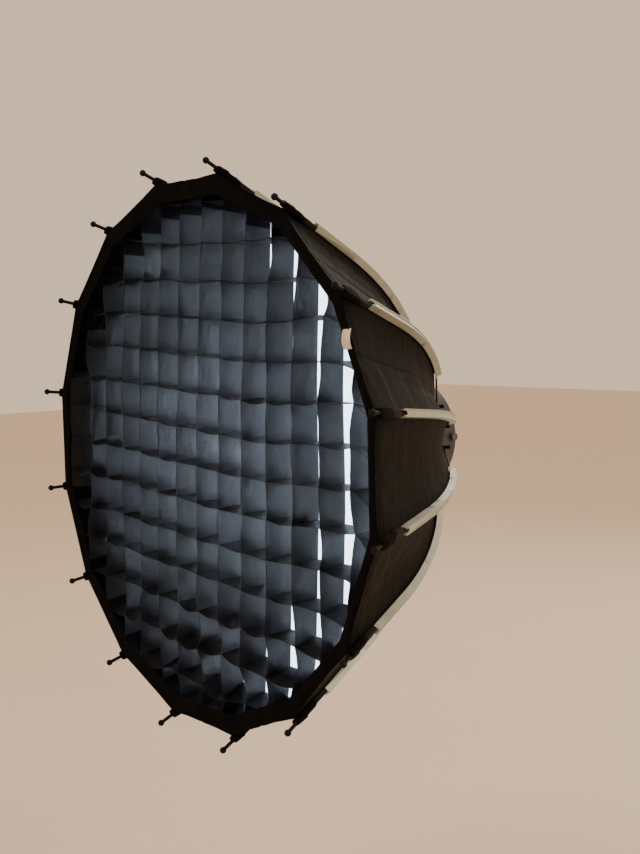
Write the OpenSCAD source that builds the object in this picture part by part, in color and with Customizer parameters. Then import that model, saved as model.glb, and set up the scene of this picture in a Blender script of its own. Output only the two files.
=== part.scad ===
// Sixteen-rib folding studio softbox with a cloth shell, a front cloth and an egg-crate grid.
// Millimetres. The front faces -Y and +Z is up. The origin is on the axis of the lamp bore,
// in the plane of the rear face that seats against the lamp.

/* [Rib outline] */
// Radius from the axis to each corner of the front rim
rim_r = 430; // [415:1:440]
// Distance from the lamp face forward to the front rim
rim_depth = 478; // [470:1:490]
// Angle of the straight front stretch of a rib from the box's axis
front_angle = 26.6; // [25:0.1:28]
// Length of the straight front stretch, measured back from the rim
front_straight = 178; // [160:1:190]
// Radius of the curved rear stretch of a rib
rib_arc_r = 640; // [620:5:660]
// Angle of the rib from the box's axis where it enters the hub
hub_angle = 50.3; // [49.5:0.1:51]
// Length of rod that stands out past the rim, up to the middle of its ball
tip_length = 22.5; // [15:0.5:30]
// Diameter of the round rod
rod_d = 3.2; // [2.5:0.1:3.4]
// Diameter of the ball on the rod's end
ball_d = 10; // [7:0.5:11]
// Diameter of the plastic cap that carries the ball
cap_d = 5.6; // [4:0.2:6.4]
// Length of the cap behind the rim, inside the pocket
cap_back = 18; // [8:1:30]

/* [Rib channel] */
// Outside width of the channel
channel_w = 11; // [9:0.5:13]
// Height of the channel's walls above the middle of the rod
channel_up = 7.4; // [5:0.2:9]
// Thickness of the channel's sheet metal
channel_t = 1.2; // [0.8:0.1:1.5]
// Bare distance from the rim back to the front end of the channel
channel_front = 75; // [60:1:90]
// Arc angle at which the channel ends, near the hub
channel_rear_angle = 49; // [46:0.5:49.5]
// Depth of the fork in the channel's front end
fork_depth = 12; // [6:1:16]
// Width of the fork in the channel's front end
fork_w = 6; // [4:0.5:7]

/* [Hub] */
// Radius of the ring of hinge pins
hinge_r = 80; // [79:0.5:81]
// Outside radius of the hub
hub_r = 92; // [91:0.5:93]
// Radius of each hinge pin
pin_r = 1.5; // [1.2:0.1:1.6]
// Radius of the knuckle at a rib's root
knuckle_r = 5; // [4.5:0.1:5]
// Width of the knuckle at a rib's root
knuckle_w = 6; // [5:0.5:6]
// Length of the short tail that drives a rib
tail_length = 18; // [17:0.5:18]
// Half of the angle through which a rib folds
half_fold = 19; // [18:0.5:19]

/* [Lamp mount] */
// Radius of the opening that the lamp shines through
lamp_bore_r = 42; // [40:0.5:43]
// Outside radius of the spigot that enters the lamp
spigot_r = 45.5; // [45:0.1:46]
// Outside radius over the three bayonet lugs
lug_r = 48.5; // [48:0.1:49]
// Height of the spigot behind the lamp face
spigot_h = 10; // [9:0.5:11]
// Thickness of the bayonet ring's flange
flange_t = 6; // [6:0.5:7]

/* [Cloth] */
// Distance from the middle of the rod down to the shell cloth
shell_gap = 6; // [5:0.5:7]
// Thickness of the shell cloth solid
shell_t = 1.2; // [0.8:0.1:1.6]
// Corner radius of the front cloth
diffuser_r = 396; // [385:1:396]
// Distance from the rim back to the front cloth
diffuser_set_back = 49.5; // [49:0.5:55]
// Depth of the egg-crate grid
grid_depth = 44; // [35:1:45]
// Pitch of the grid's square cells
cell_pitch = 55.5; // [45:0.5:60]
// Angle that the grid is turned clockwise, seen from the front
grid_turn = 3.5; // [0:0.5:12]
// Thickness of a grid wall
wall_t = 1.2; // [0.8:0.1:2]
// Corner radius of the grid's lattice
lattice_r = 391; // [380:1:391]
// Corner radius of the flat border round the grid
border_r = 418; // [410:1:418]

/* [Hidden] */
rib_count = 16;
step = 360 / rib_count;
half_step = step / 2;
$fn = 48;
eps = 0.01;
// Overlap that joins neighbouring stretches into one solid
lap = 0.02;
// The straight stretches of a rib are this much thinner all round than its bent one
bend_step = 0.02;
// The straight stretches run this far into the bent one
bend_lap = 2;

function two_digits(k) = k < 10 ? str("0", k) : str(k);
function names(stem) = [for (k = [1:rib_count]) str(stem, two_digits(k))];

// Rib outline in its own plane: x is the distance from the axis, y runs along the axis.
// From the rim it goes straight, bends round one arc and ends straight at the hinge.
rim_point = [rim_r, -rim_depth];
bend_start = rim_point + front_straight * [-sin(front_angle), cos(front_angle)];
arc_centre = bend_start - rib_arc_r * [cos(front_angle), sin(front_angle)];
bend_end = arc_centre + rib_arc_r * [cos(hub_angle), sin(hub_angle)];
rear_straight = (bend_end.x - hinge_r) / sin(hub_angle);
hinge_y = bend_end.y + rear_straight * cos(hub_angle);

// Channel section: x is outward from the rod's middle, y is across.
channel_bottom = -rod_d / 2 - channel_t;
channel_lip = 1.4;
web_top = channel_up - channel_lip;
web_bottom = web_top - channel_t;
fork_over = 0.5;
clip_down = 2.7;
clip_length = 5;
clip_gap = 0.05;
clip_bite = 0.3;
front_clip_at = 24;
rear_clip_angle = 0.45;
rear_bevel = 9;

// Root of a rib.
bore_gap = 0.05;
rod_overlap = 3;
tail_t = 2.4;
tail_w = 4;
tail_end_r = 2.5;
tail_drop = tail_length * sin(half_fold);

// Hub.
hub_back = -flange_t;
web_t = 4;
hub_front = hinge_y - 15.7;
cover_t = 3;
cover_r = 78;
cover_inner_r = 46;
ring_inner_r = 69;
sleeve_r = 54;
sleeve_inner_r = 50;
slot_w = knuckle_w + 0.6;
slot_back = hinge_y + knuckle_r + 1.8;
pin_length = 16;
slide_gap = 0.3;

// Runner ring that ties the sixteen ribs together.
runner_half = 5;
groove_half = tail_end_r + 0.5;
groove_floor_r = 58.5;
runner_r = 66;
runner_flat = 63.5;
runner_y = hinge_y - tail_drop;

// Release buttons and the leaves that they rock.
button_y = -14.5;
button_shaft_r = 3;
button_gap = 0.05;
button_head_r = 6.5;
button_head_t = 4;
button_head_at = 95.2;
button_collar_r = 4;
button_collar_at = 67.4;
button_collar_t = 1.4;
leaf_at = 66.4;
leaf_t = 0.8;
leaf_w = 8;
leaf_front = -26;
leaf_back = -11.5;
hook_reach = 61;
hook_y = runner_y + runner_half + 0.2;
hook_t = 1.6;
foot_at = 68.85;
foot_y = -20.4;
foot_t = 1.6;

// Bayonet ring and screws.
flange_r = 70;
lug_count = 3;
lug_angle = 30;
lug_y = 4.5;
lug_t = 4;
lock_notch_r = 3;
big_screw_count = 4;
big_screw_pcr = 60;
big_screw_r = 2;
big_head_r = 3.8;
big_head_t = 2.4;
small_screw_count = 8;
small_screw_pcr = 73.5;
small_screw_r = 1.25;
small_head_r = 2.4;
small_head_t = 1.6;
small_screw_depth = 8;
screw_gap = 0.05;
head_gap = 0.2;
hex_r = 1.2;

// Shell cloth, drawn in the plane half way between two ribs, where the cloth is nearest the axis.
flat_scale = cos(half_step);
shell_front_angle = atan(tan(front_angle) * flat_scale);
shell_hub_angle = atan(tan(hub_angle) * flat_scale);
shell_arc_r = (rib_arc_r - shell_gap) * 0.997;
shell_rim = [(rim_r - shell_gap / cos(front_angle)) * flat_scale, -rim_depth];
shell_straight = (front_straight * cos(front_angle) - shell_gap * sin(front_angle))
    / cos(shell_front_angle);
shell_bend = shell_rim + shell_straight * [-sin(shell_front_angle), cos(shell_front_angle)];
shell_centre = shell_bend - shell_arc_r * [cos(shell_front_angle), sin(shell_front_angle)];
shell_bend_end = shell_centre + shell_arc_r * [cos(shell_hub_angle), sin(shell_hub_angle)];
shell_end_y = hub_front - 4.2;
shell_rear = (shell_end_y - shell_bend_end.y) / cos(shell_hub_angle);
seam_gap = 0.4;
slab_w = 110;
reach = 600;

// Grid and front cloth.
border_t = 1.6;
edge_t = 1.6;
grid_front = -rim_depth + 3;
diffuser_t = 1;
cell_reach = 8;
column_phase = 0.25;
row_phase = 0.76;

// Corners of a sixteen-sided outline whose corners lie on the ribs.
function sided(r) = [for (k = [1:rib_count]) r * [sin(rib_angle(k)), cos(rib_angle(k))]];
// Angle of a rib from the top, towards +X.
function rib_angle(k) = half_step - (k - 1) * step;

// Turns a rib's own plane to where rib k stands: x outward, y along the axis, z across.
module at_rib(k) {
    rotate([0, rib_angle(k) - 90, 0]) children();
}

// Turns x to point outward at an angle from the top.
module facing(angle) {
    rotate([0, angle - 90, 0]) children();
}

// Carries a section along a straight stretch that leaves a point towards the rim.
module along(start, angle, length) {
    translate([start.x, start.y, 0])
        rotate([0, 0, angle])
            rotate([90, 0, 0])
                translate([0, 0, -lap])
                    linear_extrude(length + 2 * lap) children();
}

// Carries a section round the rib's arc.
module round_arc(from_angle, to_angle) {
    translate([arc_centre.x, arc_centre.y, 0])
        rotate([0, 0, from_angle])
            rotate_extrude(angle = to_angle - from_angle, $fn = 180)
                translate([rib_arc_r, 0]) children();
}

// A disc or ring round the box's axis.
module ring(outer, inner, back, front) {
    translate([0, back, 0])
        rotate([90, 0, 0])
            difference() {
                cylinder(r = outer, h = back - front, $fn = 96);
                translate([0, 0, -1]) cylinder(r = inner, h = back - front + 2, $fn = 96);
            }
}

// A cylinder along the box's axis, off to one side.
module peg(radius, angle, r, back, front) {
    facing(angle)
        translate([radius, back, 0])
            rotate([90, 0, 0]) cylinder(r = r, h = back - front);
}

// Two walls and a web under their lips. The rod runs in the hollow below the web.
module channel_section(thinner = 0) {
    outer = channel_w / 2 - thinner;
    inner = channel_w / 2 - channel_t + thinner;
    top = channel_up - thinner;
    bottom = channel_bottom + thinner;
    above = web_top - thinner;
    below = web_bottom + thinner;
    polygon([
        [bottom, -outer], [top, -outer], [top, -inner], [above, -inner],
        [above, inner], [top, inner], [top, outer], [bottom, outer],
        [bottom, inner], [below, inner], [below, -inner], [bottom, -inner]
    ]);
}

// A block under the web that the rod is threaded through.
module clip_section() {
    inner = channel_w / 2 - channel_t;
    difference() {
        translate([-clip_down, -inner - clip_bite])
            square([web_bottom + clip_bite + clip_down, 2 * inner + 2 * clip_bite]);
        circle(d = rod_d + 2 * clip_gap);
    }
}

// The fork: a round-bottomed slot cut through the channel's web at its front end.
module fork_cut() {
    start = bend_start + (front_straight - channel_front) * [sin(front_angle), -cos(front_angle)];
    translate([start.x, start.y, 0])
        rotate([0, 0, front_angle])
            translate([web_bottom - fork_over, 0, 0])
                rotate([0, 90, 0]) {
                    translate([0, fork_depth - fork_w / 2, 0])
                        cylinder(d = fork_w, h = channel_t + 2 * fork_over);
                    translate([-fork_w / 2, -1, 0])
                        cube([fork_w, fork_depth - fork_w / 2 + 1, channel_t + 2 * fork_over]);
                }
}

// Slopes the walls down at the channel's hub end.
module bevel_cut() {
    at = arc_centre + rib_arc_r * [cos(channel_rear_angle), sin(channel_rear_angle)];
    translate([at.x, at.y, 0])
        rotate([0, 0, channel_rear_angle])
            translate([channel_up, 0, 0])
                rotate([0, 0, 45])
                    cube([2 * rear_bevel, rear_bevel, 2 * channel_w], center = true);
}

module rib_channel() {
    color([0.66, 0.67, 0.62])
        difference() {
            union() {
                along(
                    bend_start - bend_lap * [sin(front_angle), -cos(front_angle)],
                    front_angle, front_straight - channel_front + bend_lap
                ) channel_section(bend_step);
                round_arc(front_angle, channel_rear_angle) channel_section();
                along(
                    bend_start + front_clip_at * [sin(front_angle), -cos(front_angle)],
                    front_angle, clip_length
                ) clip_section();
                round_arc(channel_rear_angle - 3 * rear_clip_angle, channel_rear_angle - 2 * rear_clip_angle)
                    clip_section();
            }
            fork_cut();
            bevel_cut();
        }
}

// Rod, ball, knuckle and tail, which are one moulded and crimped piece.
module rib_rod() {
    color([0.07, 0.07, 0.07])
        difference() {
            union() {
                along(
                    bend_start - bend_lap * [sin(front_angle), -cos(front_angle)],
                    front_angle, front_straight + tip_length + bend_lap
                ) circle(d = rod_d - 2 * bend_step);
                round_arc(front_angle, hub_angle) circle(d = rod_d);
                along(
                    [hinge_r, hinge_y] + rod_overlap * [sin(hub_angle), -cos(hub_angle)],
                    hub_angle, rear_straight - rod_overlap + bend_lap
                ) circle(d = rod_d - 2 * bend_step);
                along(
                    rim_point - cap_back * [sin(front_angle), -cos(front_angle)],
                    front_angle, cap_back + tip_length
                ) circle(d = cap_d);
                translate(concat(
                    rim_point + tip_length * [sin(front_angle), -cos(front_angle)], 0
                )) sphere(d = ball_d);
                translate([hinge_r, hinge_y, 0])
                    cylinder(r = knuckle_r, h = knuckle_w, center = true);
                translate([hinge_r, hinge_y, 0])
                    rotate([0, 0, 180 + half_fold]) {
                        translate([knuckle_r - 1, -tail_t / 2, -tail_w / 2])
                            cube([tail_length - knuckle_r + 1, tail_t, tail_w]);
                        translate([tail_length, 0, 0])
                            cylinder(r = tail_end_r, h = tail_w, center = true);
                    }
            }
            translate([hinge_r, hinge_y, 0])
                cylinder(r = pin_r + bore_gap, h = knuckle_w + 2, center = true);
        }
}

// A slab of cloth on one side of the seam plane, following the shell's outline.
module shell_band() {
    translate([0, 0, -slab_w]) {
        translate([shell_bend.x, shell_bend.y, 0])
            rotate([0, 0, shell_front_angle])
                translate([-shell_t / 2, -shell_straight, 0])
                    cube([shell_t, shell_straight + lap, slab_w - seam_gap / 2]);
        translate([shell_centre.x, shell_centre.y, 0])
            rotate([0, 0, shell_front_angle])
                rotate_extrude(angle = shell_hub_angle - shell_front_angle, $fn = 180)
                    translate([shell_arc_r - shell_t / 2, 0])
                        square([shell_t, slab_w - seam_gap / 2]);
        translate([shell_bend_end.x, shell_bend_end.y, 0])
            rotate([0, 0, shell_hub_angle])
                translate([-shell_t / 2, -lap, 0])
                    cube([shell_t, shell_rear + lap, slab_w - seam_gap / 2]);
    }
}

// The cloth from a rib to the middle of the gap on one side of it.
module half_gore() {
    rotate([0, -half_step, 0])
        intersection() {
            shell_band();
            rotate([90, 0, 0])
                linear_extrude(reach)
                    polygon([[0, 0], [reach, 0], [reach, -reach * tan(half_step) - lap], [0, -lap]]);
        }
}

module shell_panel() {
    color([0.09, 0.08, 0.075])
        union() {
            half_gore();
            mirror([0, 0, 1]) half_gore();
        }
}

module hub_body() {
    color([0.11, 0.11, 0.115])
        difference() {
            union() {
                ring(hub_r, ring_inner_r, hub_back, hub_front);
                ring(hub_r, sleeve_inner_r, hub_back, hub_back - web_t);
                ring(sleeve_r, sleeve_inner_r, hub_back, hub_front);
            }
            for (k = [1:rib_count]) at_rib(k) {
                translate([ring_inner_r - 2, hub_front - 1, -slot_w / 2])
                    cube([hub_r - ring_inner_r + 4, slot_back - hub_front + 1, slot_w]);
                translate([hinge_r, hinge_y, 0])
                    cylinder(r = pin_r, h = pin_length, center = true);
            }
            for (side = [-90, 90]) facing(side)
                translate([0, button_y, 0])
                    rotate([0, 90, 0]) cylinder(r = button_shaft_r + button_gap, h = hub_r + 1);
            for (k = [1:big_screw_count])
                peg(big_screw_pcr, 45 + 90 * k, big_screw_r + screw_gap, hub_back + 1, hub_back - web_t - 1);
            for (k = [1:small_screw_count])
                peg(small_screw_pcr, 2 * step * k, small_screw_r + screw_gap,
                    hub_front + small_screw_depth, hub_front - 1);
        }
}

module hub_cover() {
    color([0.13, 0.13, 0.135])
        difference() {
            ring(cover_r, cover_inner_r, hub_front, hub_front - cover_t);
            for (k = [1:small_screw_count]) {
                peg(small_screw_pcr, 2 * step * k, small_screw_r + screw_gap,
                    hub_front + 1, hub_front - cover_t - 1);
                peg(small_screw_pcr, 2 * step * k, small_head_r + head_gap,
                    hub_front - cover_t + small_head_t, hub_front - cover_t - 1);
            }
        }
}

module bayonet_lug(angle) {
    facing(angle)
        rotate([-90, 0, 0])
            rotate([0, 0, -lug_angle / 2])
                translate([0, 0, lug_y])
                    rotate_extrude(angle = lug_angle)
                        translate([spigot_r - 1, 0]) square([lug_r - spigot_r + 1, lug_t]);
}

module bayonet_ring() {
    color([0.62, 0.63, 0.65])
        difference() {
            union() {
                ring(flange_r, lamp_bore_r - 1, 0, -flange_t);
                ring(spigot_r, lamp_bore_r - 1, spigot_h, -1);
                for (k = [1:lug_count]) bayonet_lug(k * 360 / lug_count);
            }
            translate([0, spigot_h + 1, 0])
                rotate([90, 0, 0]) cylinder(r = lamp_bore_r, h = spigot_h + flange_t + 2, $fn = 96);
            peg(flange_r, 180, lock_notch_r, 1, -flange_t - 1);
            for (k = [1:big_screw_count]) {
                peg(big_screw_pcr, 45 + 90 * k, big_screw_r + screw_gap, 1, -flange_t - 1);
                peg(big_screw_pcr, 45 + 90 * k, big_head_r + head_gap, 1, -big_head_t);
            }
        }
}

// A cap screw: head towards +Y, shank towards -Y, with a hexagon socket in its head.
module screw(shank_r, head_r, head_t, length) {
    rotate([90, 0, 0])
        difference() {
            union() {
                cylinder(r = head_r, h = head_t);
                cylinder(r = shank_r, h = length);
            }
            translate([0, 0, -eps]) cylinder(r = hex_r, h = head_t * 0.6, $fn = 6);
        }
}

module hub_screws() {
    color([0.35, 0.35, 0.36]) {
        for (k = [1:big_screw_count]) facing(45 + 90 * k)
            translate([big_screw_pcr, 0, 0])
                screw(big_screw_r, big_head_r, big_head_t, flange_t + web_t - 0.5);
        for (k = [1:small_screw_count]) facing(2 * step * k)
            translate([small_screw_pcr, hub_front - cover_t, 0])
                mirror([0, 1, 0])
                    screw(small_screw_r, small_head_r, small_head_t, cover_t + small_screw_depth - 0.5);
    }
}

module hinge_pins() {
    color([0.55, 0.55, 0.57])
        for (k = [1:rib_count]) at_rib(k)
            translate([hinge_r, hinge_y, 0])
                cylinder(r = pin_r, h = pin_length, center = true);
}

module runner_ring() {
    color([0.2, 0.2, 0.21])
        intersection() {
            union() {
                ring(groove_floor_r, sleeve_r + slide_gap, runner_y + runner_half, runner_y - runner_half);
                ring(runner_r, sleeve_r + slide_gap, runner_y + runner_half, runner_y + groove_half);
                ring(runner_r, sleeve_r + slide_gap, runner_y - groove_half, runner_y - runner_half);
            }
            translate([0, runner_y, 0])
                cube([2 * runner_flat, 3 * runner_half, 3 * runner_r], center = true);
        }
}

module release_button(side) {
    color([0.16, 0.16, 0.165])
        facing(side)
            translate([0, button_y, 0])
                rotate([0, 90, 0]) {
                    translate([0, 0, button_collar_at])
                        cylinder(r = button_collar_r, h = button_collar_t);
                    translate([0, 0, button_collar_at])
                        cylinder(r = button_shaft_r, h = button_head_at - button_collar_at + 1);
                    translate([0, 0, button_head_at])
                        cylinder(r = button_head_r, h = button_head_t);
                }
}

// Two rocking spring leaves: a hook behind the runner, a foot on the hub and a pad under the button.
module latch_leaves() {
    color([0.5, 0.5, 0.52])
        for (side = [-90, 90]) facing(side) {
            translate([leaf_at, leaf_front, -leaf_w / 2])
                cube([leaf_t, leaf_back - leaf_front, leaf_w]);
            translate([hook_reach, hook_y, -leaf_w / 2])
                cube([leaf_at + leaf_t - hook_reach, hook_t, leaf_w]);
            translate([leaf_at, foot_y, -leaf_w / 2])
                cube([foot_at - leaf_at, foot_t, leaf_w]);
        }
}

module front_diffuser() {
    color([0.93, 0.93, 0.9])
        translate([0, -rim_depth + diffuser_set_back + diffuser_t, 0])
            rotate([90, 0, 0]) linear_extrude(diffuser_t) polygon(sided(diffuser_r));
}

module grid_lattice() {
    color([0.14, 0.16, 0.18])
        translate([0, grid_front + grid_depth, 0])
            rotate([90, 0, 0])
                linear_extrude(grid_depth) {
                    difference() {
                        polygon(sided(lattice_r));
                        polygon(sided(lattice_r - edge_t));
                    }
                    intersection() {
                        polygon(sided(lattice_r - edge_t / 2));
                        rotate(-grid_turn) for (k = [-cell_reach:cell_reach - 1]) {
                            translate([(k + column_phase) * cell_pitch - wall_t / 2, -lattice_r])
                                square([wall_t, 2 * lattice_r]);
                            translate([-lattice_r, (k + row_phase) * cell_pitch - wall_t / 2])
                                square([2 * lattice_r, wall_t]);
                        }
                    }
                }
}

module grid_border() {
    color([0.07, 0.07, 0.07])
        translate([0, grid_front + border_t, 0])
            rotate([90, 0, 0])
                linear_extrude(border_t)
                    difference() {
                        polygon(sided(border_r));
                        polygon(sided(lattice_r));
                    }
}

for (k = [1:rib_count]) {
    at_rib(k) rib_channel();
    at_rib(k) rib_rod();
    at_rib(k) shell_panel();
}
hub_body();
hub_cover();
bayonet_ring();
hub_screws();
hinge_pins();
runner_ring();
release_button(-90);  // release_button_left
release_button(90);  // release_button_right
latch_leaves();
front_diffuser();
grid_lattice();
grid_border();
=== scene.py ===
"""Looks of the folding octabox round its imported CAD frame. Metres, in the frame's own axes:
+Y leaves the lamp opening, the front cloth and grid are at -Y, +Z is up."""

import math

import bmesh
import bpy
import numpy as np
from mathutils import Matrix, Vector, noise


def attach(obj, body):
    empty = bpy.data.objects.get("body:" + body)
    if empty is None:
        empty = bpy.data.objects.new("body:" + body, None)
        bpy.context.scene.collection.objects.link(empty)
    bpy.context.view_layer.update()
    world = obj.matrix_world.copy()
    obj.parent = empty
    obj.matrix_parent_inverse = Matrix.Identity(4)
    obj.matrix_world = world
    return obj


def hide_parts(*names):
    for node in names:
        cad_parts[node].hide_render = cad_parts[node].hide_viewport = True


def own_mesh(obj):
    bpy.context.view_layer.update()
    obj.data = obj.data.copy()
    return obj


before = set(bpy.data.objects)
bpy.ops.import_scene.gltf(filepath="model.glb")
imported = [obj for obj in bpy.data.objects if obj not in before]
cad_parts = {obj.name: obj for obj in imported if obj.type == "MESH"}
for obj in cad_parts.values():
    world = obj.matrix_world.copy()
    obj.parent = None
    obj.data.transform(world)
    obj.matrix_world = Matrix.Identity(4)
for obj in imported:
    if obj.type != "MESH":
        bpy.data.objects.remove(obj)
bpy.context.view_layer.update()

# ---------------------------------------------------------------- sizes
RIBS = 16
STEP = math.tau / RIBS
HALF = STEP / 2
RIM_R, RIM_Y = 0.430, -0.478
FRONT_ANGLE = math.radians(26.6)

# Cloth profile half way between two ribs: a straight, an arc and a straight.
CLOTH_R = 0.41515
CLOTH_FRONT = math.radians(26.16)
CLOTH_BACK = math.radians(49.76)
CLOTH_STRAIGHT = 0.1743
CLOTH_ARC_R = 0.6321
CLOTH_END_Y = -0.0442
CLOTH_T = 0.0009

LATTICE_R = 0.391
LATTICE_FRONT, LATTICE_BACK = -0.475, -0.431
PITCH = 0.0555
TURN = math.radians(3.5)
COLUMN_PHASE, ROW_PHASE = 0.25, 0.76
SECTORS = 32

# Front cloth: its radius, its place along Y and how far back from the rim it meets the shell.
FRONT_CLOTH_R, FRONT_CLOTH_Y, FRONT_CLOTH_S = 0.3955, -0.4281, 0.0557
FRONT_CLOTH_T, FRONT_CLOTH_GAP, GRID_T = 0.0005, 0.0018, 0.0007
BORDER_FRONT, BORDER_BACK = -0.4756, -0.4744
TAG_W, TAG_H = 0.013, 0.026
FLOOR_Z, FLOOR_HALF = -0.95, 14

rng = np.random.RandomState(7)


def radial(angle):
    """The direction away from the axis, at an angle from +Z towards +X."""
    return np.array([math.sin(angle), 0.0, math.cos(angle)])


def tangent(angle):
    return np.array([math.cos(angle), 0.0, -math.sin(angle)])


def rib_angle(k):
    return HALF - (k - 1) * STEP


def smooth(a, b, x):
    t = min(max((x - a) / (b - a), 0.0), 1.0)
    return t * t * (3 - 2 * t)


# ---------------------------------------------------------------- camera and light
def add_camera():
    cam = bpy.data.cameras.new("camera")
    cam.lens = 51.98
    cam.sensor_width = 36
    cam.clip_start, cam.clip_end = 0.05, 60
    obj = bpy.data.objects.new("camera", cam)
    right = Vector((0.63492, 0.77227, -0.02174))
    up = Vector((-0.05196, 0.07076, 0.99614))
    back = Vector((0.77083, -0.63134, 0.08505))
    turn = Matrix((right, up, back)).transposed().to_4x4()
    obj.matrix_world = Matrix.Translation((1.56325, -1.50881, 0.19893)) @ turn
    bpy.context.scene.collection.objects.link(obj)
    bpy.context.scene.camera = obj


def add_light(name, spot, aim, size, power, colour):
    light = bpy.data.lights.new(name, "AREA")
    light.shape = "DISK"
    light.size = size
    light.energy = power
    light.color = colour
    obj = bpy.data.objects.new(name, light)
    obj.location = spot
    way = Vector(aim) - Vector(spot)
    obj.rotation_euler = way.to_track_quat("-Z", "Y").to_euler()
    bpy.context.scene.collection.objects.link(obj)
    return obj


add_camera()
add_light("key", (-0.6, -3.0, 3.0), (0, -0.2, 0), 1.6, 40, (1.0, 0.95, 0.9))
add_light("side", (3.2, 0.9, 2.2), (0, -0.2, 0), 1.8, 75, (1.0, 0.96, 0.88))
add_light("rear", (-1.6, 3.2, 2.0), (0, -0.2, 0), 2.0, 40, (1.0, 0.96, 0.92))
glow = add_light("glow", (0, -0.15, 0), (0, -1, 0), 0.16, 40, (0.94, 0.97, 1.0))
glow.visible_camera = False

world = bpy.data.worlds.new("world")
bpy.context.scene.world = world
world.use_nodes = True
world.node_tree.nodes["Background"].inputs[0].default_value = (1.0, 0.75, 0.52, 1)
world.node_tree.nodes["Background"].inputs[1].default_value = 0.92


# ---------------------------------------------------------------- materials
GRAIN_DEPTH, CREASE_DEPTH, THREAD_DEPTH = 0.0004, 0.002, 0.0003
WAVE_BANDS = 3.183  # bands a metre in a wave texture at scale 1


def new_material(name):
    mat = bpy.data.materials.new(name)
    mat.use_nodes = True
    tree = mat.node_tree
    return mat, tree, tree.nodes["Principled BSDF"]


def node(tree, kind, **values):
    made = tree.nodes.new(kind)
    for key, value in values.items():
        if key in made.inputs:
            made.inputs[key].default_value = value
        else:
            setattr(made, key, value)
    return made


def place(tree, coords, stretch):
    """Texture coordinates, scaled along each axis."""
    source = node(tree, "ShaderNodeTexCoord")
    mapping = node(tree, "ShaderNodeMapping", Scale=stretch)
    tree.links.new(source.outputs[coords], mapping.inputs["Vector"])
    return mapping.outputs["Vector"]


def mottled(tree, bsdf, at, colours, scale, rough):
    """Base colour and roughness that vary with a noise."""
    cloud = node(tree, "ShaderNodeTexNoise", Scale=scale, Detail=5.0, Roughness=0.6)
    tree.links.new(at, cloud.inputs["Vector"])
    ramp = node(tree, "ShaderNodeValToRGB")
    ramp.color_ramp.elements[0].position = 0.3
    ramp.color_ramp.elements[1].position = 0.7
    for element, colour in zip(ramp.color_ramp.elements, colours):
        element.color = (*colour, 1)
    tree.links.new(cloud.outputs["Fac"], ramp.inputs["Fac"])
    tree.links.new(ramp.outputs["Color"], bsdf.inputs["Base Color"])
    spread = node(tree, "ShaderNodeMapRange")
    spread.inputs["From Min"].default_value = 0.3
    spread.inputs["From Max"].default_value = 0.7
    spread.inputs["To Min"].default_value = rough[0]
    spread.inputs["To Max"].default_value = rough[1]
    tree.links.new(cloud.outputs["Fac"], spread.inputs["Value"])
    tree.links.new(spread.outputs["Result"], bsdf.inputs["Roughness"])
    return cloud


def bumped(tree, bsdf, heights):
    """A chain of bumps: (height output, distance in metres, strength) each."""
    last = None
    for height, distance, strength in heights:
        bump = node(tree, "ShaderNodeBump", Strength=strength, Distance=distance)
        tree.links.new(height, bump.inputs["Height"])
        if last:
            tree.links.new(last, bump.inputs["Normal"])
        last = bump.outputs["Normal"]
    tree.links.new(last, bsdf.inputs["Normal"])


def weave(tree, at, threads):
    """Threads crossing both ways, as many a metre as said."""
    ways = []
    for axis in ("X", "Y"):
        wave = node(tree, "ShaderNodeTexWave", bands_direction=axis, Scale=threads / WAVE_BANDS)
        tree.links.new(at, wave.inputs["Vector"])
        ways.append(wave.outputs["Fac"])
    both = node(tree, "ShaderNodeMath", operation="MULTIPLY")
    tree.links.new(ways[0], both.inputs[0])
    tree.links.new(ways[1], both.inputs[1])
    return both.outputs["Value"]


def cloth_material(name, colours, rough, threads=700, thread_bump=0.3, crease=0.35,
                   scale=9.0, coords="Object", stretch=(1, 1, 1), sheen=0.05,
                   sheen_tint=(0.6, 0.6, 0.65), shine=0.2):
    mat, tree, bsdf = new_material(name)
    at = place(tree, coords, stretch)
    mottled(tree, bsdf, at, colours, scale, rough)
    uv = place(tree, "UV", (1, 1, 1))
    fold = node(tree, "ShaderNodeTexNoise", Scale=45.0, Detail=4.0, Roughness=0.55)
    tree.links.new(at, fold.inputs["Vector"])
    bumped(tree, bsdf, [(fold.outputs["Fac"], CREASE_DEPTH, crease),
                        (weave(tree, uv, threads), THREAD_DEPTH, thread_bump)])
    bsdf.inputs["Sheen Weight"].default_value = sheen
    bsdf.inputs["Sheen Tint"].default_value = (*sheen_tint, 1)
    bsdf.inputs["Sheen Roughness"].default_value = 0.4
    bsdf.inputs["Specular IOR Level"].default_value = shine
    return mat


def solid_material(name, colours, rough, metallic=0.0, scale=60.0, stretch=(1, 1, 1),
                   grain=0.15, grain_scale=900.0):
    mat, tree, bsdf = new_material(name)
    at = place(tree, "Object", stretch)
    mottled(tree, bsdf, at, colours, scale, rough)
    fine = node(tree, "ShaderNodeTexNoise", Scale=grain_scale, Detail=3.0)
    tree.links.new(at, fine.inputs["Vector"])
    bumped(tree, bsdf, [(fine.outputs["Fac"], GRAIN_DEPTH, grain)])
    bsdf.inputs["Metallic"].default_value = metallic
    return mat


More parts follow.
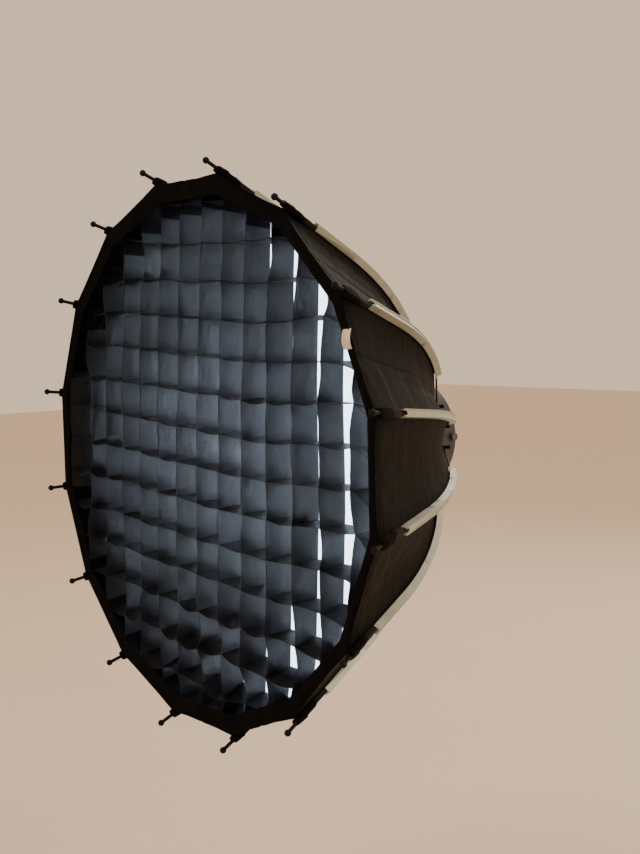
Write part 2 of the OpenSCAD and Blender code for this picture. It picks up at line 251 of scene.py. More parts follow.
SHELL = cloth_material("shell_cloth", [(0.0016, 0.0013, 0.0011), (0.0070, 0.0056, 0.0046)],
                       (0.55, 0.75), threads=700, thread_bump=0.25, crease=0.8,
                       scale=1.0, coords="UV", stretch=(7, 48, 1), sheen=0.012,
                       sheen_tint=(0.75, 0.68, 0.62), shine=0.07)
TAPE = cloth_material("rim_tape", [(0.0010, 0.0009, 0.0008), (0.0026, 0.0024, 0.0022)],
                      (0.65, 0.85), threads=420, thread_bump=0.6, crease=0.2,
                      scale=30.0, sheen=0.006, shine=0.05)
STRAP = cloth_material("sleeve_webbing", [(0.006, 0.0055, 0.004), (0.014, 0.013, 0.0098)],
                       (0.65, 0.85), threads=480, thread_bump=0.7, crease=0.2,
                       scale=60.0, sheen=0.02, shine=0.12)
BORDER = cloth_material("border_cloth", [(0.0006, 0.0006, 0.0007), (0.0018, 0.0018, 0.002)],
                        (0.6, 0.85), threads=500, thread_bump=0.4, crease=0.8,
                        scale=22.0, sheen=0.004, shine=0.04)
GRID = cloth_material("grid_cloth", [(0.0030, 0.0035, 0.0041), (0.0088, 0.0100, 0.0114)],
                      (0.42, 0.62), threads=900, thread_bump=0.12, crease=0.8,
                      scale=16.0, sheen=0.02, sheen_tint=(0.7, 0.78, 0.88), shine=0.16)
# A darker copy of the grid cloth for the row walls: painted shade, since their tops get less light
# than the column walls.
GRID_ROW_SHADE = cloth_material("grid_cloth_rows_painted_shade",
                          [(0.002, 0.0023, 0.0026), (0.0045, 0.005, 0.0056)],
                          (0.5, 0.7), threads=900, thread_bump=0.12, crease=0.6,
                          scale=16.0, sheen=0.0, shine=0.08)
TAG = cloth_material("tag_tape", [(0.62, 0.52, 0.42), (0.75, 0.66, 0.56)],
                     (0.6, 0.8), threads=500, thread_bump=0.5, crease=0.2, scale=90.0)


def diffuser_material():
    mat = cloth_material("diffuser_cloth", [(0.80, 0.82, 0.84), (0.9, 0.91, 0.92)],
                         (0.6, 0.8), threads=600, thread_bump=0.3, crease=0.4,
                         scale=12.0, sheen=0.1)
    tree = mat.node_tree
    through = node(tree, "ShaderNodeBsdfTranslucent")
    through.inputs["Color"].default_value = (0.88, 0.93, 1.0, 1)
    mix = node(tree, "ShaderNodeMixShader")
    mix.inputs[0].default_value = 0.5
    out = tree.nodes["Material Output"]
    tree.links.new(tree.nodes["Principled BSDF"].outputs[0], mix.inputs[1])
    tree.links.new(through.outputs[0], mix.inputs[2])
    tree.links.new(mix.outputs[0], out.inputs["Surface"])
    return mat


def lining_material():
    mat = cloth_material("silver_lining", [(0.62, 0.63, 0.65), (0.8, 0.81, 0.83)],
                         (0.3, 0.5), threads=500, thread_bump=0.3, crease=1.0,
                         scale=25.0, sheen=0.0)
    mat.node_tree.nodes["Principled BSDF"].inputs["Metallic"].default_value = 0.85
    return mat


DIFFUSER = diffuser_material()
LINING = lining_material()
RIB_METAL = solid_material("rib_metal", [(0.34, 0.355, 0.285), (0.45, 0.465, 0.38)], (0.36, 0.5),
                           metallic=0.4, scale=40.0, grain=0.3, grain_scale=700.0)
ROD = solid_material("rod_black", [(0.0018, 0.0018, 0.0018), (0.0055, 0.0055, 0.0055)], (0.45, 0.6),
                     scale=120.0, grain=0.2)
ROD.node_tree.nodes["Principled BSDF"].inputs["Specular IOR Level"].default_value = 0.12
HUB = solid_material("hub_plastic", [(0.024, 0.024, 0.026), (0.042, 0.042, 0.044)], (0.48, 0.62),
                     scale=50.0, grain=0.4, grain_scale=1600.0)
RUNNER = solid_material("runner_plastic", [(0.07, 0.07, 0.074), (0.11, 0.11, 0.115)],
                        (0.45, 0.6), scale=70.0, grain=0.4, grain_scale=1600.0)
BUTTON = solid_material("button_plastic", [(0.045, 0.045, 0.05), (0.075, 0.075, 0.08)],
                        (0.38, 0.52), scale=90.0, grain=0.35, grain_scale=1500.0)
MOUNT = solid_material("mount_metal", [(0.5, 0.51, 0.53), (0.66, 0.67, 0.69)], (0.24, 0.36),
                       metallic=1.0, scale=60.0, stretch=(1, 14, 1), grain=0.25,
                       grain_scale=300.0)
SCREW = solid_material("screw_steel", [(0.16, 0.16, 0.17), (0.26, 0.26, 0.27)], (0.28, 0.4),
                       metallic=1.0, scale=200.0, grain=0.2)
PIN = solid_material("pin_steel", [(0.42, 0.42, 0.44), (0.55, 0.55, 0.57)], (0.2, 0.32),
                     metallic=1.0, scale=200.0, grain=0.15)
SPRING = solid_material("spring_steel", [(0.36, 0.36, 0.38), (0.5, 0.5, 0.52)], (0.24, 0.36),
                        metallic=1.0, scale=150.0, grain=0.15)


def finish_cad(name, mat, bevel):
    """A better material and rounded edges on a CAD node, whose own mesh stays."""
    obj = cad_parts[name]
    for i in range(len(obj.material_slots)):
        obj.material_slots[i].material = mat
    if bevel:
        weld = obj.modifiers.new("weld", "WELD")
        weld.merge_threshold = 2e-6
        edge = obj.modifiers.new("edge", "BEVEL")
        edge.width = bevel
        edge.segments = 2
        edge.limit_method = "ANGLE"
        edge.angle_limit = math.radians(40)
        edge.use_clamp_overlap = True


for number in range(1, RIBS + 1):
    finish_cad(f"rib_channel_{number:02d}", RIB_METAL, 0.00035)
    finish_cad(f"rib_rod_{number:02d}", ROD, 0)
finish_cad("hub_body", HUB, 0.0004)
finish_cad("hub_cover", HUB, 0.0005)
finish_cad("bayonet_ring", MOUNT, 0.0005)
finish_cad("hub_screws", SCREW, 0.0003)
finish_cad("hinge_pins", PIN, 0)
finish_cad("runner_ring", RUNNER, 0.0004)
finish_cad("release_button_left", BUTTON, 0.0008)
finish_cad("release_button_right", BUTTON, 0.0008)
finish_cad("latch_leaves", SPRING, 0.0001)


# ---------------------------------------------------------------- mesh helpers
def build(name, points, faces, mats, face_mats=None, uvs=None, sharp=50):
    """A mesh object from points and faces, with a UV for each point."""
    mesh = bpy.data.meshes.new(name)
    mesh.from_pydata([tuple(p) for p in points], [], faces)
    for mat in mats:
        mesh.materials.append(mat)
    if face_mats is not None:
        mesh.polygons.foreach_set("material_index", np.array(face_mats, np.int32))
    if uvs is not None:
        layer = mesh.uv_layers.new(name="UVMap")
        index = np.zeros(len(mesh.loops), np.int32)
        mesh.loops.foreach_get("vertex_index", index)
        layer.data.foreach_set("uv", np.array(uvs, np.float32)[index].ravel())
    mesh.validate()
    mesh.polygons.foreach_set("use_smooth", np.ones(len(mesh.polygons), bool))
    mesh.set_sharp_from_angle(angle=math.radians(sharp))
    obj = bpy.data.objects.new(name, mesh)
    bpy.context.scene.collection.objects.link(obj)
    return obj


def closed_patch(outer, inner, outer_mat, inner_mat, edge_mat):
    """Faces of a thin closed patch between two grids of points of the same shape."""
    rows, cols = outer.shape[:2]
    count = rows * cols
    faces, mats = [], []

    def at(i, j, side):
        return side * count + i * cols + j

    for i in range(rows - 1):
        for j in range(cols - 1):
            faces.append((at(i, j, 0), at(i, j + 1, 0), at(i + 1, j + 1, 0), at(i + 1, j, 0)))
            mats.append(outer_mat(i, j))
            faces.append((at(i, j, 1), at(i + 1, j, 1), at(i + 1, j + 1, 1), at(i, j + 1, 1)))
            mats.append(inner_mat(i, j))
    for j in range(cols - 1):
        faces.append((at(0, j, 0), at(0, j, 1), at(0, j + 1, 1), at(0, j + 1, 0)))
        faces.append((at(rows - 1, j, 0), at(rows - 1, j + 1, 0),
                      at(rows - 1, j + 1, 1), at(rows - 1, j, 1)))
    for i in range(rows - 1):
        faces.append((at(i, 0, 0), at(i + 1, 0, 0), at(i + 1, 0, 1), at(i, 0, 1)))
        faces.append((at(i, cols - 1, 0), at(i, cols - 1, 1),
                      at(i + 1, cols - 1, 1), at(i + 1, cols - 1, 0)))
    mats += [edge_mat] * (len(faces) - len(mats))
    return np.concatenate([outer.reshape(-1, 3), inner.reshape(-1, 3)]), faces, mats


def grid_area(points):
    a, b = points[:-1, :-1], points[1:, :-1]
    c, d = points[1:, 1:], points[:-1, 1:]
    return (np.linalg.norm(np.cross(b - a, c - a), axis=2).sum()
            + np.linalg.norm(np.cross(c - a, d - a), axis=2).sum()) / 2


# ---------------------------------------------------------------- shell cloth
BEND_1 = np.array([CLOTH_R - CLOTH_STRAIGHT * math.sin(CLOTH_FRONT),
                   RIM_Y + CLOTH_STRAIGHT * math.cos(CLOTH_FRONT)])
ARC_AT = BEND_1 - CLOTH_ARC_R * np.array([math.cos(CLOTH_FRONT), math.sin(CLOTH_FRONT)])
BEND_2 = ARC_AT + CLOTH_ARC_R * np.array([math.cos(CLOTH_BACK), math.sin(CLOTH_BACK)])
ARC_LEN = CLOTH_ARC_R * (CLOTH_BACK - CLOTH_FRONT)
TURN_IN = CLOTH_STRAIGHT + ARC_LEN + (CLOTH_END_Y - BEND_2[1]) / math.cos(CLOTH_BACK)
CLOTH_LEN = TURN_IN + 0.0095


def profile(s):
    """Apothem, y and slope of the cloth, s metres back from the rim."""
    if s <= CLOTH_STRAIGHT:
        slope = CLOTH_FRONT
        at = np.array([CLOTH_R, RIM_Y]) + s * np.array([-math.sin(slope), math.cos(slope)])
    elif s <= CLOTH_STRAIGHT + ARC_LEN:
        slope = CLOTH_FRONT + (s - CLOTH_STRAIGHT) / CLOTH_ARC_R
        at = ARC_AT + CLOTH_ARC_R * np.array([math.cos(slope), math.sin(slope)])
    else:
        slope = CLOTH_BACK
        rest = min(s, TURN_IN) - CLOTH_STRAIGHT - ARC_LEN
        at = BEND_2 + rest * np.array([-math.sin(slope), math.cos(slope)])
        if s > TURN_IN:
            at = at - np.array([s - TURN_IN, 0.0])
    return at[0], at[1], slope


TAPE_W = 0.019
ACROSS = [0.5 * (1 - math.cos(math.pi * t)) for t in np.linspace(0, 1, 16)]
ACROSS = [-v for v in ACROSS[:0:-1]] + ACROSS


def between(v):
    """How far a line between two ribs has gone from a rib, 0, to half way, 1, eased."""
    return 1 - (1 - abs(v)) ** 2


RIM_SAG, CLOTH_SAG = 0.0032, 0.0085
# Height, turns round, turns along and start of each wave in the cloth.
WAVES = [(0.0021, 19, 3.2, 3), (0.0010, 46, 5.5, 9), (0.0022, 5, 7, 21)]
SEAM_DEPTH, SEAM_WIDTH, SEAM_SPREAD = 0.0008, 0.0022, 0.08
TENT, TENT_END, TENT_FADE = 0.0030, 0.03, 0.07


def rim_sag(v):
    """How far the rim tape hangs in between two ribs."""
    return RIM_SAG * between(v)


def cloth_depth(angle, s, v):
    """How far the cloth is drawn out of its flat facet, outwards."""
    run = s / CLOTH_LEN
    sag = -CLOTH_SAG * math.sin(math.pi * run) ** 0.8 * between(v)
    sag -= rim_sag(v) * (1 - smooth(0, 0.09, s))
    x, z = math.sin(angle), math.cos(angle)
    loose = between(v) * min(1, (1 - run) * 8)
    tight = 0.35 + 0.65 * smooth(0.0, 0.03, s)
    wave = sum(height * noise.noise(Vector((x * turns, z * turns, s * along + start)))
               for height, turns, along, start in WAVES)
    pull = 0.0016 * math.sin((s * 120 + abs(v) * 9)) * math.exp(-s / 0.05) * between(v)
    seam = -SEAM_DEPTH * math.exp(-(((1 - abs(v)) * SEAM_SPREAD) / SEAM_WIDTH) ** 2)
    # The ribs' channels lift the cloth along their length.
    tent = TENT * (1 - abs(v)) ** 3 * smooth(0.020, 0.060, s)
    tent *= 1 - smooth(CLOTH_LEN - TENT_FADE, CLOTH_LEN - TENT_END, s)
    return sag + (wave + pull) * loose * tight + seam + tent


def cloth_point(k, s, v, out):
    """A point of gore k, v from -1 to 1 across it, and out metres off the cloth."""
    x, y, slope = profile(s)
    side = -1 if v < 0 else 1
    middle = rib_angle(k) + side * HALF
    along = -side * x * math.tan(HALF) * (1 - abs(v))
    angle = rib_angle(k) + side * HALF * min(abs(v) / 0.08, 1)
    lift = out + cloth_depth(rib_angle(k) + v * HALF, s, v)
    return (x * radial(middle) + along * tangent(middle) + np.array([0, y, 0])
            + lift * (math.cos(slope) * radial(angle) + np.array([0, math.sin(slope), 0])))


def rib_fold(obj, k):
    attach(obj, f"rib_{k:02d}")
    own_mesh(obj)


# Each gore is cut into sections. A lap under the next section keeps the joint closed.
CUTS = [0, 0.040, 0.080, 0.120, 0.162, 0.205, 0.250, 0.297, 0.346, 0.397, 0.450, 0.503,
        CLOTH_LEN]
LAP_STEP, LAP_END, LAP_DROP = 0.0012, 0.0055, -0.0012


def shell_section(k, index):
    """One section of gore k, with its flat size and area."""
    start, end = CUTS[index], CUTS[index + 1]
    stations = list(np.linspace(start, end, max(5, int((end - start) / 0.0065))))
    if index == 0:
        # The rim tape, its edge and the row of stitches behind it.
        stations = [0, 0.002, 0.008, 0.014, TAPE_W - 0.0006, TAPE_W + 0.0002, 0.0215, 0.0225,
                    0.0235] + [s for s in stations if s > 0.026]
    if end < CLOTH_LEN:
        stations += [end + LAP_STEP, end + LAP_END]

    def raised(s):
        """How far the outside stands off the plain cloth."""
        if s > end + 1e-6:
            return LAP_DROP
        if s < TAPE_W:
            return 0.0007
        return -0.0005 if abs(s - 0.0225) < 0.0005 else 0.0

    outer = np.array([[cloth_point(k, s, v, raised(s)) for v in ACROSS] for s in stations])
    inner = np.array([[cloth_point(k, s, v, -CLOTH_T) for v in ACROSS] for s in stations])
    points, faces, mats = closed_patch(
        outer, inner,
        lambda i, j: 2 if stations[i + 1] < TAPE_W else 0,
        lambda i, j: 2 if stations[i + 1] < 0.03 else 0 if index and i == 0 else 1,
        2 if index == 0 else 0)
    wide = [profile(s)[0] * math.tan(HALF) for s in stations]
    uvs = [(w * v + k * 1.7, s) for w, s in zip(wide, stations) for v in ACROSS] * 2
    obj = build(f"shell_{k:02d}_{index + 1}", points, faces, (SHELL, LINING, TAPE), mats, uvs)
    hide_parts(f"shell_panel_{k:02d}")
    rib_fold(obj, k)
    width, length = 2 * max(wide), stations[-1] - start
    return obj, (width, length), min(grid_area(outer), width * length)


# ---------------------------------------------------------------- pockets and sleeves
LOFT_RING, LOFT_SQUARE = 24, 0.42


def loft(name, sections, mats, rough):
    """A closed body through sections (place, sideways, upwards, half width, half height)."""
    ring, square = LOFT_RING, LOFT_SQUARE
    points, uvs = [], []
    for n, (centre, side, up, wide, high) in enumerate(sections):
        for j in range(ring):
            a = math.tau * j / ring
            c, s = math.cos(a), math.sin(a)
            p = (centre + side * wide * math.copysign(abs(c) ** square, c)
                 + up * high * math.copysign(abs(s) ** square, s))
            p = p + up * rough * noise.noise(Vector(p) * 160)
            points.append(p)
            uvs.append((j / ring * 4 * wide, n * 0.004))
    faces = []
    for n in range(len(sections) - 1):
        for j in range(ring):
            a, b = n * ring + j, n * ring + (j + 1) % ring
            faces.append((a, b, b + ring, a + ring))
    faces.append(tuple(range(ring))[::-1])
    last = (len(sections) - 1) * ring
    faces.append(tuple(last + j for j in range(ring)))
    return build(name, points, faces, mats, None, uvs, sharp=38)


def rib_line(k, s, out):
    """A point on the straight front stretch of rib k, s metres back from the rim."""
    a = FRONT_ANGLE
    return (radial(rib_angle(k)) * (RIM_R - s * math.sin(a) + out * math.cos(a))
            + np.array([0, RIM_Y + s * math.cos(a) + out * math.sin(a), 0]))


def rib_sections(k, table):
    """Sections of a loft along rib k, from a table."""
    side = tangent(rib_angle(k))
    up = radial(rib_angle(k)) * math.cos(FRONT_ANGLE) + np.array([0, math.sin(FRONT_ANGLE), 0])
    return [(rib_line(k, s, out), side, up, wide, high) for s, out, wide, high in table]


# Distance from the rim, height of the middle over the rod, half width and half height.
POCKET = [(-0.0016, -0.0010, 0.0050, 0.0036), (-0.0010, -0.0008, 0.0062, 0.0044),
          (0.001, -0.0006, 0.0070, 0.0049), (0.006, -0.0004, 0.0076, 0.0053),
          (0.012, -0.0003, 0.0078, 0.0056), (0.0175, -0.0002, 0.0079, 0.0058),
          (0.0182, -0.0007, 0.0074, 0.0052), (0.026, -0.0007, 0.0073, 0.0051),
          (0.034, -0.0006, 0.0074, 0.0053), (0.040, -0.0007, 0.0074, 0.0051),
          (0.0445, -0.0010, 0.0070, 0.0047), (0.0455, -0.0018, 0.0060, 0.0036)]
SLEEVE = [(0.040, -0.0006, 0.0060, 0.0042), (0.048, -0.0008, 0.0064, 0.0045),
          (0.058, -0.0008, 0.0064, 0.0044), (0.067, -0.0007, 0.0062, 0.0042),
          (0.0715, -0.0006, 0.0056, 0.0038), (0.0745, -0.0002, 0.0044, 0.0030),
          (0.080, 0.0, 0.0040, 0.0026), (0.090, 0.0, 0.0039, 0.0025),
          (0.0935, 0.0, 0.0036, 0.0021)]


for k in range(1, RIBS + 1):
    made = [shell_section(k, index) for index in range(len(CUTS) - 1)]
    pocket_at = rib_sections(k, POCKET)
    pocket = loft(f"corner_pocket_{k:02d}", pocket_at, (TAPE,), rough=0.0009)
    sleeve_at = rib_sections(k, SLEEVE)
    sleeve = loft(f"rod_sleeve_{k:02d}", sleeve_at, (STRAP,), rough=0.0005)
    for obj, slot in ((pocket, "border_cloth"), (sleeve, "shell_cloth")):
        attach(obj, f"rib_{k:02d}")


# ---------------------------------------------------------------- front border
def flare(angle):
    """How far the front of the grid is drawn out towards the rim, more at the two sides."""
    return 0.005 + 0.011 * math.sin(angle) ** 2


def border_piece(k):
    """Flat black border between the grid and the rim, the share that goes with rib k."""
    inner = LATTICE_R * math.cos(HALF) - 0.003
    steps = np.linspace(0, 1, 7)

    def at(t, v, y):
        side = -1 if v < 0 else 1
        middle = rib_angle(k) + side * HALF
        edge = CLOTH_R - 0.0014 - rim_sag(v)
        inside = inner + flare(rib_angle(k) + v * HALF)
        x = inside + (edge - inside) * t
        flat = x * radial(middle) - side * x * math.tan(HALF) * (1 - abs(v)) * tangent(middle)
        ripple = 0.0022 * noise.noise(Vector(flat) * 26) * math.sin(math.pi * t)
        roll = 0.0022 * (1 - (1 - t) ** 2)
        return flat + np.array([0, y + ripple - roll, 0])

    front = np.array([[at(t, v, BORDER_FRONT) for v in ACROSS] for t in steps])
    back = np.array([[at(t, v, BORDER_BACK) for v in ACROSS] for t in steps])
    points, faces, mats = closed_patch(front, back, lambda i, j: 0, lambda i, j: 0, 0)
    uvs = [(t * 0.03, v * 0.08) for t in steps for v in ACROSS] * 2
    obj = build(f"front_border_{k:02d}", points, faces, (BORDER,), mats, uvs)
    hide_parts("grid_border")
    rib_fold(obj, k)


for k in range(1, RIBS + 1):
    border_piece(k)


# ---------------------------------------------------------------- grid
CELLS = 9
jitter = rng.uniform(-1, 1, (2 * CELLS + 2, 2 * CELLS + 2, 2))
column_bulge = rng.uniform(-1, 1, (2 * CELLS + 2, 2 * CELLS + 2))
row_bulge = rng.uniform(-1, 1, (2 * CELLS + 2, 2 * CELLS + 2))


def messy(x, z):
    """How untidy the cells are: most at the bottom and the upper left."""
    low = smooth(-0.15, -0.36, z)
    corner = smooth(0.24, 0.40, math.hypot(min(x, 0), max(z, 0))) * smooth(0.05, -0.15, x)
    return max(low, 0.8 * corner)


def grid_place(kind, x, y, z):
    """Where a point of the straight grid goes in the slack one. kind 0 is a column wall."""
    w = min(max((LATTICE_BACK - y) / (LATTICE_BACK - LATTICE_FRONT), 0.0), 1.0)
    u = (x * math.cos(TURN) - z * math.sin(TURN)) / PITCH - COLUMN_PHASE + CELLS
    v = (x * math.sin(TURN) + z * math.cos(TURN)) / PITCH - ROW_PHASE + CELLS
    i, j = int(math.floor(u + 1e-6)), int(math.floor(v + 1e-6))
    fu, fv = min(max(u - i, 0), 1), min(max(v - j, 0), 1)
    i, j = min(max(i, 0), 2 * CELLS), min(max(j, 0), 2 * CELLS)
    wild = messy(x, z)
    right = smooth(0.285, 0.385, 0.6 * x + 0.4 * math.hypot(x, z)) if x > 0 else 0.0
    rho = math.hypot(x, z)
    rho2 = (x * x + z * z) / LATTICE_R ** 2
    edge = 1 - smooth(0.90, 1.0, math.sqrt(rho2))
    corner = ((jitter[i, j] * (1 - fu) + jitter[i + 1, j] * fu) * (1 - fv)
              + (jitter[i, j + 1] * (1 - fu) + jitter[i + 1, j + 1] * fu) * fv)
    du = 0.002 * rho2 + 0.004 * right + corner[0] * (0.0016 + 0.006 * right + 0.0075 * wild)
    dv = corner[1] * (0.0014 + 0.006 * right + 0.0060 * wild) - 0.006 * wild
    if kind == 0:
        k = min(int(round(u)), 2 * CELLS)
        size = (0.0012 + 0.009 * right
                + column_bulge[k, j] * (0.0022 + 0.018 * right + 0.009 * wild))
        du += size * math.sin(math.pi * fv) * w ** 0.4
        du += 0.0011 * noise.noise(Vector((v * 2.3, w * 1.5, k * 3.7)))
        du += 0.0008 * noise.noise(Vector((v * 5.0 + w * 3, w * 3.5 - v * 2, k * 8.1)))
    else:
        k = min(int(round(v)), 2 * CELLS)
        size = (row_bulge[i, k] * (0.0018 + 0.006 * right + 0.009 * wild)
                - 0.0012 - 0.004 * wild)
        dv += size * math.sin(math.pi * fu) * w ** 0.4
        dv += 0.0010 * noise.noise(Vector((u * 2.3, w * 1.5, k * 3.7 + 50)))
    lean = w ** 1.2 * (0.25 + 0.75 * edge)
    du, dv = du * lean, dv * lean
    dx = du * math.cos(TURN) + dv * math.sin(TURN)
    dz = -du * math.sin(TURN) + dv * math.cos(TURN)
    # The slack grid hangs to the right low down, and its rows level out at the right.
    dx += 0.010 * edge * smooth(0.05, 0.28, x) * smooth(0.12, -0.08, z)
    dz += 0.012 * edge * smooth(0.14, 0.34, x)
    forward = -0.007 * w * max(1 - rho2, 0) - 0.0025 * w * noise.noise(Vector((u, v, 4.0)))
    outer = smooth(0.80, 0.99, rho / (LATTICE_R * 0.985))
    out = w * flare(math.atan2(x, z)) * outer / max(rho, 0.01)
    return x + dx + x * out, y + forward * edge, z + dz + z * out


def edge_place(x, y, z):
    """Where a point of the band round the grid goes."""
    w = (LATTICE_BACK - y) / (LATTICE_BACK - LATTICE_FRONT)
    out = 1 + w * flare(math.atan2(x, z)) / math.hypot(x, z)
    return x * out, y, z * out


def straight_walls(kind):
    """All the flat walls that run one way, cut to the sixteen-sided outline."""
    mesh = bmesh.new()
    along = np.arange(-7.5, 8.51, 0.125) * PITCH
    deep = np.linspace(LATTICE_BACK, LATTICE_FRONT, 8)
    phase, other = (COLUMN_PHASE, ROW_PHASE) if kind == 0 else (ROW_PHASE, COLUMN_PHASE)
    for k in range(-8, 8):
        place_at = (k + phase) * PITCH
        rows = []
        for y in deep:
            row = []
            for step in along:
                run = step + (other - 0.5) * PITCH
                u, v = (place_at, run) if kind == 0 else (run, place_at)
                x = u * math.cos(TURN) + v * math.sin(TURN)
                z = -u * math.sin(TURN) + v * math.cos(TURN)
                row.append(mesh.verts.new((x, y, z)))
            rows.append(row)
        for a, b in zip(rows, rows[1:]):
            for c in range(len(along) - 1):
                mesh.faces.new((a[c], a[c + 1], b[c + 1], b[c]))
    for k in range(RIBS):
        out = radial(k * STEP)
        cut = Vector(out * (LATTICE_R * math.cos(HALF) - 0.0006))
        everything = mesh.verts[:] + mesh.edges[:] + mesh.faces[:]
        bmesh.ops.bisect_plane(mesh, geom=everything, plane_co=cut, plane_no=Vector(out),
                               clear_outer=True)
    return mesh


def sector_part(mesh, first, last):
    """Points and faces of the share of a mesh between two angles round the axis."""
    part = mesh.copy()
    for normal in (-tangent(first), tangent(last)):
        everything = part.verts[:] + part.edges[:] + part.faces[:]
        bmesh.ops.bisect_plane(part, geom=everything, plane_co=Vector((0, 0, 0)),
                               plane_no=Vector(normal), clear_outer=True)
    part.verts.index_update()
    points = [tuple(v.co) for v in part.verts]
    faces = [tuple(v.index for v in f.verts) for f in part.faces]
    part.free()
    return points, faces


def front_fold(obj):
    """A wedge of the front, hung on the hub."""
    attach(obj, "hub")
    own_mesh(obj)


def thicken(obj, amount):
    """Gives a sheet its thickness, with crisp edges so that the cuts between pieces don't show."""
    solid = obj.modifiers.new("thickness", "SOLIDIFY")
    solid.thickness = amount
    solid.offset = 0
    shown = obj.evaluated_get(bpy.context.evaluated_depsgraph_get())
    mesh = bpy.data.meshes.new_from_object(shown)
    obj.modifiers.clear()
    obj.data = mesh
    mesh.set_sharp_from_angle(angle=math.radians(50))


def rim_band(first, last):
    """The cloth band round the outside of the grid, between two angles."""
    points, faces = [], []
    angles = np.linspace(first, last, 9)
    deep = np.linspace(LATTICE_BACK, LATTICE_FRONT, 5)
    for y in deep:
        for angle in angles:
            side = round(angle / STEP - 1e-9 * (angle - (first + last) / 2)) * STEP
            mid = round((first + last) / 2 / STEP) * STEP
            side = mid if abs(angle - mid) <= HALF + 1e-6 else side
            r = LATTICE_R * math.cos(HALF) / math.cos(angle - side)
            points.append(radial(angle) * r + np.array([0, y, 0]))
    cols = len(angles)
    for a in range(len(deep) - 1):
        for b in range(cols - 1):
            faces.append((a * cols + b, a * cols + b + 1, (a + 1) * cols + b + 1,
                          (a + 1) * cols + b))
    return points, faces


def in_shaded_top_cells(p):
    """Whether a place is in the outermost part of the top cells, which get the black border cloth
    as painted shade.
    """
    return math.hypot(p[0], p[2]) > 0.362 and p[2] > 0.12 and p[0] < 0.2


def grid_sectors():
    """The grid in wedges, with the column walls, the row walls and the band of each."""
    walls = [straight_walls(0), straight_walls(1)]
    for n in range(SECTORS):
        first, last = n * math.tau / SECTORS, (n + 1) * math.tau / SECTORS
        points, faces, mats, uvs = [], [], [], []
        for kind in (0, 1):
            raw, found = sector_part(walls[kind], first, last)
            base = len(points)
            for x, y, z in raw:
                points.append(grid_place(kind, x, y, z))
                uvs.append((z if kind == 0 else x, y))
            faces += [tuple(base + i for i in face) for face in found]
            # Painted shade: the outermost top cells take the black border cloth, and the row walls
            # take the darker row copy of the grid cloth.
            mats += [2 if in_shaded_top_cells(raw[face[0]]) else kind for face in found]
        raw, found = rim_band(first, last)
        raw = [edge_place(*p) for p in raw]
        base = len(points)
        points += raw
        uvs += [(p[0], p[1]) for p in raw]
        faces += [tuple(base + i for i in face) for face in found]
        mats += [2] * len(found)
        obj = build(f"grid_wedge_{n + 1:02d}", points, faces, (GRID, GRID_ROW_SHADE, BORDER), mats, uvs)
        thicken(obj, GRID_T)
        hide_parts("grid_lattice")
        front_fold(obj)
    for mesh in walls:
        mesh.free()


def cloth_edge(angle):
    """How far the front cloth reaches: to the inside of the shell."""
    k = int(round((HALF - angle) / STEP)) % RIBS + 1
    v = ((angle - rib_angle(k) + math.pi) % math.tau - math.pi) / HALF
    inside = -CLOTH_T - FRONT_CLOTH_GAP
    x, _, z = cloth_point(k, FRONT_CLOTH_S, max(min(v, 1.0), -1.0), inside)
    return math.hypot(x, z)


def front_cloth():
    """The white front cloth in wedges."""
    for n in range(SECTORS):
        first, last = n * math.tau / SECTORS, (n + 1) * math.tau / SECTORS
        angles = np.linspace(first, last, 9)
        shares = [0.004] + list(np.linspace(0.06, 1, 26))
        points, uvs = [], []
        for share in shares:
            for angle in angles:
                p = radial(angle) * cloth_edge(angle) * share
                ripple = 0.0009 * noise.noise(Vector(p) * 14) * (1 - share ** 6)
                y = FRONT_CLOTH_Y + ripple
                points.append(p + np.array([0, y, 0]))
                uvs.append((p[0], p[2]))
        cols = len(angles)
        faces = [(a * cols + b, a * cols + b + 1, (a + 1) * cols + b + 1, (a + 1) * cols + b)
                 for a in range(len(shares) - 1) for b in range(cols - 1)]
        obj = build("front_cloth_%02d" % (n + 1), points, faces, (DIFFUSER,), None, uvs)
        thicken(obj, FRONT_CLOTH_T)
        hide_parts("front_diffuser")
        front_fold(obj)


front_cloth()
grid_sectors()


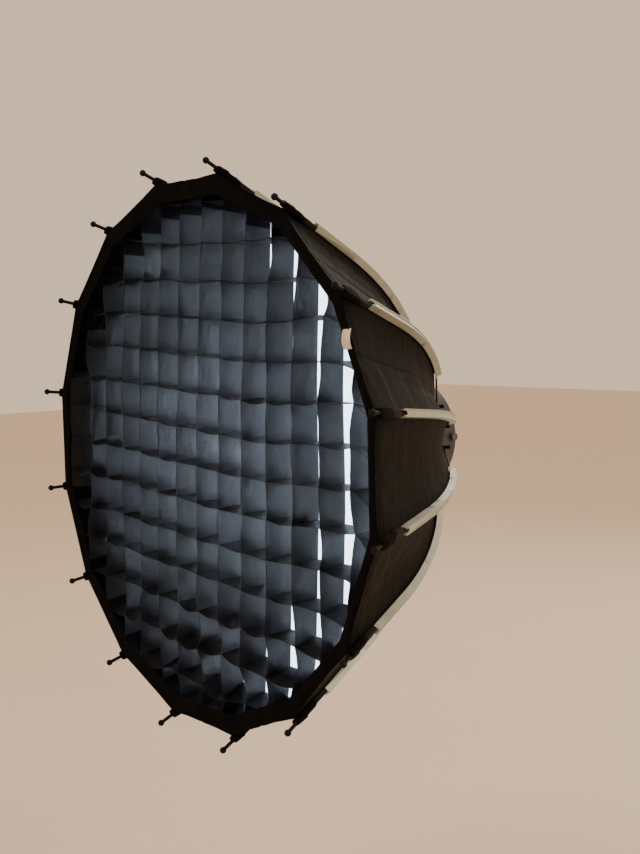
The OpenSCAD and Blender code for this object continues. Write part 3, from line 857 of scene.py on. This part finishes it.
# ---------------------------------------------------------------- small pieces
def hub_collar():
    """Cloth ring that closes the gap between the shell and the hub."""
    rings = [(0.0735, -0.0433), (0.0770, -0.0434), (0.0806, -0.0435), (0.0841, -0.0437)]
    count = 96
    front = np.array([[radial(math.tau * j / count) * (r + 0.0006 * math.sin(j * math.tau / 6))
                       + np.array([0, y - 0.0004, 0]) for j in range(count + 1)]
                      for r, y in rings])
    back = front + np.array([0, 0.0008, 0])
    points, faces, mats = closed_patch(front, back, lambda i, j: 1, lambda i, j: 0, 0)
    uvs = [(j * 0.0055, r) for r, _ in rings for j in range(count + 1)] * 2
    obj = build("hub_collar", points, faces, (TAPE, LINING), mats, uvs)
    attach(obj, "hub")


def blank_tag():
    """A small plain tape tag folded over the edge of the border, with nothing on it."""
    rows = np.linspace(0, 1, 9)
    cols = np.linspace(-0.5, 0.5, 5)
    centre = np.array([0.3655, -0.4792, 0.176])
    down = np.array([0.10, 0.0, -1.0])
    down = down / np.linalg.norm(down)
    across = np.array([0.97, 0.22, 0.10])
    across = across / np.linalg.norm(across)

    def at(t, c, out):
        curl = 0.004 * math.sin(math.pi * t * 0.9) + 0.0012 * math.cos(c * 5)
        return (centre + down * (t - 0.5) * TAG_H + across * c * TAG_W
                + np.array([0, -curl - out, 0]))

    front = np.array([[at(t, c, 0.0005) for c in cols] for t in rows])
    back = np.array([[at(t, c, 0.0) for c in cols] for t in rows])
    points, faces, mats = closed_patch(front, back, lambda i, j: 0, lambda i, j: 0, 0)
    uvs = [(c * TAG_W, t * TAG_H) for t in rows for c in cols] * 2
    obj = build("blank_tag", points, faces, (TAG,), mats, uvs)
    k = int(round((HALF - math.atan2(centre[0], centre[2])) / STEP)) % RIBS + 1
    rib_fold(obj, k)


hub_collar()
blank_tag()


# ---------------------------------------------------------------- stage
def add_floor():
    """A plain floor that only the photo's stage needs."""
    mesh = bpy.data.meshes.new("floor")
    size = FLOOR_HALF
    mesh.from_pydata([(-size, -size, 0), (size, -size, 0), (size, size, 0), (-size, size, 0)],
                     [], [(0, 1, 2, 3)])
    mat, tree, bsdf = new_material("floor_paint")
    at = place(tree, "Object", (1, 1, 1))
    mottled(tree, bsdf, at, [(0.78, 0.65, 0.52), (0.80, 0.67, 0.54)], 1.5, (0.8, 0.9))
    mesh.materials.append(mat)
    obj = bpy.data.objects.new("floor", mesh)
    obj.location = (0, 0, FLOOR_Z)
    bpy.context.scene.collection.objects.link(obj)


add_floor()
